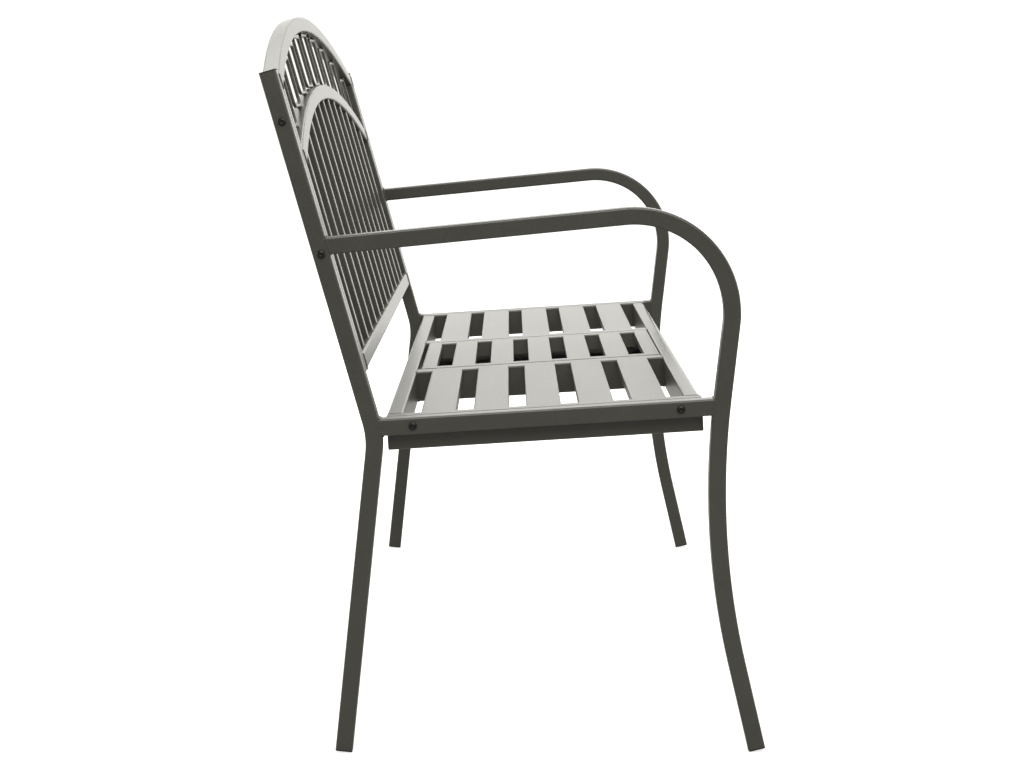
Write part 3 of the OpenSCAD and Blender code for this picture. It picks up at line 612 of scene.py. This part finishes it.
# %% Table
TABLE_W, BORDER, T_SLAT, T_LIP = 316.0, 22.0, 35.0, 10.0
SIDE_LIP = 24.0                        # the side borders' inner lip, which hides the legs
SHEET_LAP = 1.8                        # how far a sheet's end laps under its neighbour
T_REAR, T_FRONT = IN_REAR - 6.0, IN_FRONT + 1.5   # the table's edges, a gap inside the seat's tubes
for name, u in (("rear", T_REAR - BORDER / 2), ("front", T_FRONT + BORDER / 2)):
    bar = straight(fold(BORDER, T_LIP), seat_at(-TABLE_W / 2, u), seat_at(TABLE_W / 2, u),
                   REAR_SEAT, UP_SEAT)
    coated(f"table_{name}_border", [bar], f"table_{name}_bar", body="table")
x = (TABLE_W - BORDER) / 2
bar = straight(fold(BORDER - BUTT, T_LIP, SIDE_LIP), seat_at(x, T_FRONT + BORDER - SHEET_LAP, -BUTT / 2),
               seat_at(x, T_REAR - BORDER + SHEET_LAP, -BUTT / 2), X, UP_SEAT)
coated("table_right_border", [bar], "table_right_bar", body="table")
coated("table_left_border", [flip(bar)], "table_left_bar", body="table")
inside = T_REAR - T_FRONT - 2 * BORDER
t_space = (inside - COUNT * T_SLAT) / (COUNT + 1)
t_in = TABLE_W / 2 - BORDER + SHEET_LAP
for i in range(1, COUNT + 1):
    u = T_REAR - BORDER - t_space * i - T_SLAT * (i - 0.5)
    slat = straight(fold(T_SLAT, T_LIP), seat_at(-t_in, u, -BUTT), seat_at(t_in, u, -BUTT),
                    REAR_SEAT, UP_SEAT)
    coated(f"table_slat_sheet_{i}", [slat], f"table_slat_{i}", body="table")
print("table slats lie", round(t_space, 1), "mm apart")

# %% [markdown]
# ## Scissor legs
#
# Under each side of the table two flat bars cross at a rivet. At the rear both turn on fixed pins,
# at the front both carry rollers, so the table stays parallel to the seat as it rises.

# %% Pins, rollers and legs
PIN, ROLLER_W = 6.0, 6.0
TABLE_ROLLER, TRACK_ROLLER = 9.0, 13.4 # diameters
UPPER, LOWER = 16.5, 28.8              # depths of the upper and lower pins under the seat's top
PIN_REAR = T_REAR - 33.5               # the fixed pins, and the rollers' axles at rest
PIN_FRONT = T_FRONT + 30.8
WEB = GAP_IN - 2.0                     # face of the slide track's web
LEG_W, LEG_T = 11.0, 3.0               # flat bar of the legs
OUTER_X, INNER_X = WEB - 4.5, WEB - 9.0
BRACKET_X = INNER_X - 4.0
LOW_ROLL, UP_ROLL = INNER_X - 7.0, INNER_X - 8.0   # inner faces of the rollers
HEAD_R, HEAD_RIM, HEAD_H, TIP_R = 4.2, 3.2, 1.0, 0.5   # a pin's bevelled head, and its tip


def turned(corners):
    """Corners of a turned outline, each given twice with the slopes of the two lines that it joins."""
    rows = []
    for (r0, h0), (r1, h1) in zip(corners, corners[1:]):
        length = math.hypot(r1 - r0, h1 - h0)
        slope = math.degrees(math.atan2(-(r1 - r0), h1 - h0))
        f = min(0.12, 0.3 * length) / max(length, 1e-6)
        rows.append((r0 + (r1 - r0) * f, h0 + (h1 - h0) * f, slope))
        rows.append((r1 - (r1 - r0) * f, h1 - (h1 - h0) * f, slope))
    return rows


def pin(x0, x1, u, depth, heads=(True, True)):
    """A shank along x with a bevelled head at the chosen ends."""
    start, stop = [(TIP_R, x0)], [(TIP_R, x1)]
    if heads[0]:
        start = [(TIP_R, x0 - HEAD_H), (HEAD_RIM, x0 - HEAD_H), (HEAD_R, x0 - 0.4), (HEAD_R, x0)]
    if heads[1]:
        stop = [(HEAD_R, x1), (HEAD_R, x1 + 0.4), (HEAD_RIM, x1 + HEAD_H), (TIP_R, x1 + HEAD_H)]
    outline = start + [(PIN / 2, x0), (PIN / 2, x1)] + stop
    return lathe(turned(outline), seat_at(0, u, -depth), X, 32)


def roller(x, d, u, depth):
    """A plain wheel round a pin, with its rim's edges broken."""
    a, b = x, x + ROLLER_W
    half = [(PIN / 2 + 0.05, a), (PIN / 2 + 0.8, a), (d / 2 - 0.5, a), (d / 2, a + 0.5)]
    parts = half + [(r, a + b - h) for r, h in half[::-1]]
    return lathe(turned(parts), seat_at(0, u, -depth), X, 40)


def flat_bar(x, start, stop, width=LEG_W, thick=LEG_T):
    """Outline of two half circles joined by straights, given the bar's thickness, edges broken."""
    a, b = np.array(start), np.array(stop)
    way = (b - a) / np.linalg.norm(b - a)
    across = np.array([-way[1], way[0]])
    t = np.radians(np.linspace(-90, 90, 13))
    arc = np.c_[np.cos(t), np.sin(t)]
    half = np.linalg.norm(b - a) / 2
    points = np.vstack([[half, 0] + arc * width / 2, -([half, 0] + arc * width / 2)])
    normals = np.vstack([arc, -arc])
    centre = (a + b) / 2
    e_way = seat_at(0, *way) - seat_at(0, 0, 0)
    e_across = seat_at(0, *across) - seat_at(0, 0, 0)
    near, far = seat_at(x, *centre), seat_at(x + thick, *centre)
    return straight((points, normals), near, far, e_way, e_across, 0.4)


# %% Put the scissor together
top_rear, low_rear = (PIN_REAR, -UPPER), (PIN_REAR, -LOWER)
top_front, low_front = (PIN_FRONT, -UPPER), (PIN_FRONT, -LOWER)
middle = ((PIN_REAR + PIN_FRONT) / 2, (UPPER + LOWER) / 2)
outer_face, inner_face = OUTER_X + LEG_T, INNER_X + LEG_T


def both(shells):
    """The shells and their mirror images."""
    return list(shells) + [flip(shell) for shell in shells]


outer_bar, inner_bar = flat_bar(OUTER_X, top_front, low_rear), flat_bar(INNER_X, low_front, top_rear)
coated("outer_leg_bars", both([outer_bar]), "outer_legs", body="outer_leg_pair")
coated("inner_leg_bars", both([inner_bar]), "inner_legs", body="inner_leg_pair")
make("cross_rivets", both([pin(INNER_X, outer_face, *middle)]), "outer_leg_pair", zinc,
     ["leg_rivets"])
upper = [roller(UP_ROLL, TABLE_ROLLER, PIN_FRONT, UPPER), pin(UP_ROLL, outer_face, PIN_FRONT, UPPER)]
make("table_roller_set", both(upper), "outer_leg_pair", plastic, ["upper_rollers"])
lower = [roller(LOW_ROLL, TRACK_ROLLER, PIN_FRONT, LOWER),
         pin(LOW_ROLL, inner_face, PIN_FRONT, LOWER, (True, False))]
make("track_roller_set", both(lower), "inner_leg_pair", plastic, ["lower_rollers"])

BRACKET_W, BRACKET_T, BRACKET_R = 20.0, 2.5, 6.0
STRIP_IN, STRIP_OUT, STRIP_T = 137.5, 149.25, 1.7
STRIP_END = PIN_FRONT + 93.4           # past the end of the rollers' way
bracket_mid = -(UPPER + 6.5) / 2
bracket = straight(rounded(BRACKET_W, UPPER + 3.5, (0.3, 0.3, BRACKET_R, BRACKET_R)),
                   seat_at(BRACKET_X, PIN_REAR, bracket_mid),
                   seat_at(BRACKET_X + BRACKET_T, PIN_REAR, bracket_mid), REAR_SEAT, UP_SEAT, 0.3)
x, depth = (STRIP_OUT + STRIP_IN) / 2, -T_LIP - STRIP_T / 2
strip = straight(rounded(STRIP_OUT - STRIP_IN, STRIP_T, 0.3, 2), seat_at(x, T_FRONT + BORDER, depth),
                 seat_at(x, STRIP_END, depth), X, UP_SEAT, 0.3)
bracket_pin = pin(BRACKET_X + BRACKET_T / 2, inner_face, PIN_REAR, UPPER, (False, True))
coated("table_hangers", both([bracket, strip, bracket_pin]), "table_brackets", body="table")
print("legs are", round(math.dist(top_front, low_rear), 1), "mm from pin to pin")


# %% Slide tracks
def angle_section(width, height, t=2.0, r=3.0, steps=5):
    """L of two flat legs: the flange along the bottom and the web up its right edge, joined outside by
    a bend of radius r and inside by one of r less the thickness."""
    a = np.radians(np.linspace(-90, 0, steps + 1))
    n = np.c_[np.cos(a), np.sin(a)]
    outer = [width - r, r] + r * n
    inner = ([width - r, r] + (r - t) * n)[::-1]
    points = np.vstack([[[0, 0]], outer, [[width, height], [width - t, height]], inner, [[0, t]]])
    normals = np.vstack([[[0, -1]], n, [[1, 0], [-1, 0]], -n[::-1], [[0, 1]]])
    return points, normals


TRACK_T, ROLL_GAP = 2.0, 0.3
low = -(LOWER + TRACK_ROLLER / 2 + ROLL_GAP) - TRACK_T
flange_x = LOW_ROLL - 1.0
section = angle_section(GAP_IN - flange_x, -T_LIP - 2.0 - low, TRACK_T)
track = straight(section, seat_at(flange_x, IN_FRONT, low), seat_at(flange_x, IN_REAR, low), X, UP_SEAT)
track_pin = pin(OUTER_X, WEB + 1, PIN_REAR, LOWER, (True, False))
coated("slide_track_angles", both([track, track_pin]), "slide_tracks")
print("tracks are", round(IN_REAR - IN_FRONT, 1), "mm long")

# %% [markdown]
# ## Welds
#
# Every joint is run round with a wire welder, which leaves a bead of overlapping pools. A bead here is
# a round section carried round the joint's outline, and its radius swells once for each pool.

# %% Beads
def even(points, normals, step):
    """The closed outline again with equal steps: both are interpolated over the length walked."""
    ring = np.vstack([points, points[:1]])
    walked = np.r_[0, np.cumsum(np.linalg.norm(np.diff(ring, axis=0), axis=1))]
    at = np.linspace(0, walked[-1], max(12, round(walked[-1] / step)), endpoint=False)
    both_ways = np.hstack([ring, np.vstack([normals, normals[:1]])])
    x, y, nx, ny = (np.interp(at, walked, column) for column in both_ways.T)
    n = np.c_[nx, ny]
    return np.c_[x, y], n / np.linalg.norm(n, axis=1, keepdims=True), at


def bead(centre, side, up, w, h, r=CORNER, d=3.0, pool=2.6):
    """Closed weld round a rounded rectangle w by h at centre. Its section's radius is
    d / 2 * (1 + 0.13 * sin(2 * pi * walked / pool)), with a whole number of pools."""
    points, normals, at = even(*rounded(w, h, r), pool / 5)
    count = round((at[-1] + at[1]) / pool)
    ripple = 0.13 * d / 2 * np.sin(2 * math.pi * count * at / (at[-1] + at[1]))
    path = centre + points[:, :1] * side + points[:, 1:] * up
    outward = normals[:, :1] * side + normals[:, 1:] * up
    return carry(circle(d, 8), path, outward, np.cross(side, up), ripple, closed=True)


def in_frame_plane(rake):
    """Way up a piece of a side frame that leans backwards by rake degrees."""
    return np.array([0, math.sin(math.radians(rake)), math.cos(math.radians(rake))])


BEAD_W, BEAD_H, BEND_H = 20.2, 22.4, 22.6   # beads round the frame's joints; the last is on a bend
LEG_FACE, BEND_FACE = -257.2, 164.0   # where the rail meets the front leg and the rear leg's bend
BEND_LEAN = 10.7                      # how far the rear leg leans back there
joints = []
for x in (-FRAME_X, FRAME_X):
    # Arm to post: the bead lies on the post's front face
    on_post = side_at(x, arm_start - arm_way * 0.3)[0]
    s_arm = float(np.dot(on_post - back_at(x, 0), UP_BACK))
    joints.append(bead(back_at(x, s_arm, TUBE / 2 + 0.3), X, UP_BACK, BEAD_W, BEAD_H))
    # Rail to front leg, and rail to the bend of the rear leg
    joints.append(bead(seat_at(x, LEG_FACE, -TUBE / 2), X, in_frame_plane(-FRONT_LEG), BEAD_W, BEAD_H))
    joints.append(bead(seat_at(x, BEND_FACE, -TUBE / 2), X, in_frame_plane(BEND_LEAN), BEAD_W, BEND_H))
coated("side_frame_welds", joints)

back_joints = []
r = ARCH_R - TUBE / 2
for side in (-1, 1):
    for crown, x in ((TOP, PANEL - 0.8), (INNER, PANEL - TUBE - 0.4)):
        a = math.asin(x / r)
        outwards = math.sin(side * a) * X + math.cos(side * a) * UP_BACK
        centre = back_at(side * x, crown - ARCH_R + r * math.cos(a))
        back_joints.append(bead(centre, OUT_BACK, outwards, TUBE, TUBE))
    back_joints.append(bead(back_at(side * (PANEL - TUBE - 0.4), BOTTOM), OUT_BACK, UP_BACK, TUBE, TUBE))
for x in slat_places:
    slope = math.asin(x / ARCH_R)
    along = math.cos(slope) * X - math.sin(slope) * UP_BACK
    for centre, way in ((back_at(x, BOTTOM + TUBE / 2 + 0.2), X),
                        (back_at(x, arch_at(x, INNER, TUBE) - 0.2), along)):
        back_joints.append(bead(centre, way, OUT_BACK, SLAT, SLAT, SLAT_CORNER, 2.4, 2.4))
coated("back_welds", back_joints)
print("beads:", len(joints) + len(back_joints))


# %% Tacks that hold the rod loops
def tack(centre, axis, radius, height):
    """A pool as half an ellipse turned round its axis: radius * cos t, height * sin t."""
    t = np.radians(np.linspace(-60, 88, 9))
    slope = np.degrees(np.arctan2(np.sin(t) * radius, np.cos(t) * height))
    return lathe(np.c_[radius * np.cos(t), height * np.sin(t), slope], centre, axis, 14)


TACK_R, TACK_H, NEAR = 4.2, 3.0, 4.0   # a tack is only set where rod and arch are less than NEAR apart
tacks = []
for middle_x in loop_places:
    under, over = rests(middle_x)
    for side in (-1, 1):
        x = middle_x + side * (REACH - 1)
        if under - arch_at(x, INNER) < NEAR:
            tacks.append(tack(back_at(x, arch_at(x, INNER)), UP_BACK, TACK_R, TACK_H))
        if arch_at(x, TOP, TUBE) - over < NEAR:
            tacks.append(tack(back_at(x, arch_at(x, TOP, TUBE)), -UP_BACK, TACK_R, TACK_H))
coated("loop_tacks", tacks)
print("tacks:", len(tacks))

# %% Welds of the seat
OFF = 0.3                              # the beads' middles lie this far outside the joint
seat_joints = []
for side in (-1, 1):
    for u in (REAR - WALL / 2, FRONT + WALL / 2):
        seat_joints.append(bead(seat_at(side * (SIDE_IN - OFF), u, mid - OFF), REAR_SEAT, UP_SEAT,
                                WALL - 1, DEEP - 0.6, CORNER, 2.4))
    for u, way in ((IN_REAR, -1), (IN_FRONT, 1)):
        seat_joints.append(bead(seat_at(side * (GAP_IN + GAP_OUT) / 2, u + way * OFF, mid - OFF), X, UP_SEAT,
                                GAP_OUT - GAP_IN - 1, DEEP - 0.6, CORNER, 2.4))
coated("seat_welds", seat_joints)
print("beads on the seat:", len(seat_joints))

# %% [markdown]
# ## Screws
#
# Eight button-head screws hold the back and the seat to the side frames. The head is turned, domed
# and broached with a hexagon, so its surface is a set of rings that change from round to six-sided.

# %% Socket screws
SHANK_R, SHANK_LEN = 3.0, 34.0
BUTTON_R, RIM_H, DOME_H = 5.25, 1.1, 2.2
SOCKET = 2.0                           # half the width across the hexagon's flats


def screw(centre, side, steps=48):
    """Rings around x. The domed part follows r = R cos t, h = rim + rise * sin t, and the socket's
    rings have radius SOCKET / cos(angle to the nearest flat's middle)."""
    a = np.linspace(0, 2 * math.pi, steps, endpoint=False)
    round_ring = np.ones(steps)
    hexagon = SOCKET / np.cos((a + math.pi / 6) % (math.pi / 3) - math.pi / 6)
    t = np.radians([0, 15, 30, 45, 56])
    rings = [(SHANK_R * round_ring, -SHANK_LEN), (SHANK_R * round_ring, 0.0),
             ((BUTTON_R - 0.15) * round_ring, 0.0), (BUTTON_R * round_ring, 0.15),
             (BUTTON_R * round_ring, RIM_H)]
    rise = DOME_H / math.sin(t[-1])
    rings += [(BUTTON_R * math.cos(v) * round_ring, RIM_H + rise * math.sin(v)) for v in t[1:]]
    rings += [(hexagon + 0.25, 3.3), (hexagon, 3.1), (hexagon, 1.3), (0.5 * round_ring, 0.9)]
    r = np.array([ring[0] for ring in rings])
    h = np.array([ring[1] for ring in rings])
    v = np.stack([np.repeat(h[:, None], steps, 1) * side, r * np.cos(a), r * np.sin(a)], -1)
    faces = quads(len(rings), steps, False, True)
    faces = faces[:, ::-1] if side < 0 else faces
    v = v.reshape(-1, 3)
    flat = np.cross(v[faces[:, 1]] - v[faces[:, 0]], v[faces[:, 3]] - v[faces[:, 0]])
    flat /= np.maximum(np.linalg.norm(flat, axis=1, keepdims=True), 1e-9)
    k = (len(rings) - 1) * steps
    ends = [(np.arange(steps)[::-side][None], np.broadcast_to(-X * side, (1, steps, 3))),
            ((k + np.arange(steps))[::side][None], np.broadcast_to(X * side, (1, steps, 3)))]
    return v + centre, [(faces, np.repeat(flat[:, None], 4, 1))] + ends, np.zeros(len(v))


POST_SCREWS, RAIL_SCREWS = (242, 413), (-216, 124)   # places up the post and along the seat rail
spots = [(back_at(side * HALF, s), side) for side in (-1, 1) for s in POST_SCREWS]
spots += [(seat_at(side * HALF, u, -TUBE / 2), side) for side in (-1, 1) for u in RAIL_SCREWS]
screws = [screw(centre, side) for centre, side in spots]
make("socket_screws", screws, "bench_frame", black, ["frame_bolts"])
# The nuts behind the screws hardly show, so their plain solids stay and only take the zinc
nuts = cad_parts["rivet_nuts"]
nuts.data.materials.clear()
nuts.data.materials.append(zinc)
print("screws:", len(screws))

# %% [markdown]
# ## Studio
#
# The bench stands on a sheet of white paper. Dark satin steel shows what it mirrors more than its own
# colour, so the light is made of large panels: one overhead that runs out past the far end, one
# standing at the far end, one before and one behind the bench for its rounded corners, and a smaller
# one high on the near side. The rest of the room is dim, and only the camera sees it as white.

# %% Floor and room
white, tree, shader, place = finish("studio_paper_white", Base_Color=srgb("#a4a4a2"), Roughness=0.9)
# The paper glows for the camera only, a painted light that rises from 0.70 near the bench to 1.1 further
# out, so near the bench a little of the bench's shade shows and further out it is white
ray = add(tree, "ShaderNodeLightPath")
out = add(tree, "ShaderNodeVectorMath", {"operation": "LENGTH"}, _0=place)
# Painted light: the floor's glow, weaker near the bench and stronger further out
glow = add(tree, "ShaderNodeMapRange", Value=out.outputs["Value"], From_Min=0.9, From_Max=2.6,
           To_Min=0.70, To_Max=1.1)
seen = add(tree, "ShaderNodeMath", {"operation": "MULTIPLY"}, _0=glow.outputs["Result"],
           _1=ray.outputs["Is Camera Ray"])
shader.inputs["Emission Color"].default_value = (1.0, 1.0, 1.0, 1.0)
tree.links.new(seen.outputs["Value"], shader.inputs["Emission Strength"])
bpy.ops.mesh.primitive_plane_add(size=40, location=(0, 0, -0.0005))
floor = bpy.context.object
floor.name = "studio_floor"
floor.data.materials.append(white)
print("floor is", round(floor.dimensions.x), "m wide")
world = bpy.data.worlds.new("studio")
bpy.context.scene.world = world
world.use_nodes = True
tree = world.node_tree
tree.nodes["Background"].inputs["Color"].default_value = (1.0, 0.99, 0.96, 1.0)
ray = add(tree, "ShaderNodeLightPath")
bright = add(tree, "ShaderNodeMapRange", Value=ray.outputs["Is Camera Ray"], To_Min=0.35, To_Max=1.1)
tree.links.new(bright.outputs["Result"], tree.nodes["Background"].inputs["Strength"])


# %% Light panels
def panel(name, place, angles, size, shine):
    """A rectangular area light. Its power is pi * area * shine, where shine is how bright its face
    looks beside white paper, and its angles are in degrees from facing straight down."""
    light = bpy.data.lights.new(name, "AREA")
    light.shape = "RECTANGLE"
    light.size, light.size_y = size
    light.energy = math.pi * size[0] * size[1] * shine
    light.color = (1.0, 0.99, 0.955)
    box = bpy.data.objects.new(name, light)
    bpy.context.scene.collection.objects.link(box)
    box.location = place
    box.rotation_euler = np.radians(angles)
    box.visible_camera = False
    print(name, round(light.energy), "W")


panel("overhead_panel", (2.0, 0.2, 3.0), (0, 0, 0), (5.0, 4.0), 3.2)
panel("far_panel", (5.2, 0.0, 1.3), (0, 90, 0), (2.6, 6.0), 1.8)
panel("front_panel", (0.8, -3.4, 1.6), (90, 0, 0), (4.4, 2.8), 2.4)
panel("back_panel", (0.8, 3.4, 1.6), (-90, 0, 0), (4.4, 2.8), 2.4)
panel("near_panel", (-2.8, -0.4, 2.7), (0, -45, 0), (2.4, 3.0), 5.1)

# %% [markdown]
# The lens is long and stands off the end of the bench, a little above the arms, looking slightly down.

# %% Camera
camera = bpy.data.cameras.new("camera")
camera.sensor_width = 36.0
camera.lens = 75.09
camera.clip_end = 100
eye = bpy.data.objects.new("camera", camera)
bpy.context.scene.collection.objects.link(eye)
eye.location = (-3.2924, -0.00173, 0.8572)
eye.rotation_euler = (math.radians(90 - 8.028), math.radians(0.049), math.radians(-90 - 0.061))
bpy.context.scene.camera = eye
bpy.context.scene.view_settings.view_transform = "Standard"
print("camera stands", round(-eye.location.x - HALF / 1000, 2), "m off the end of the bench")
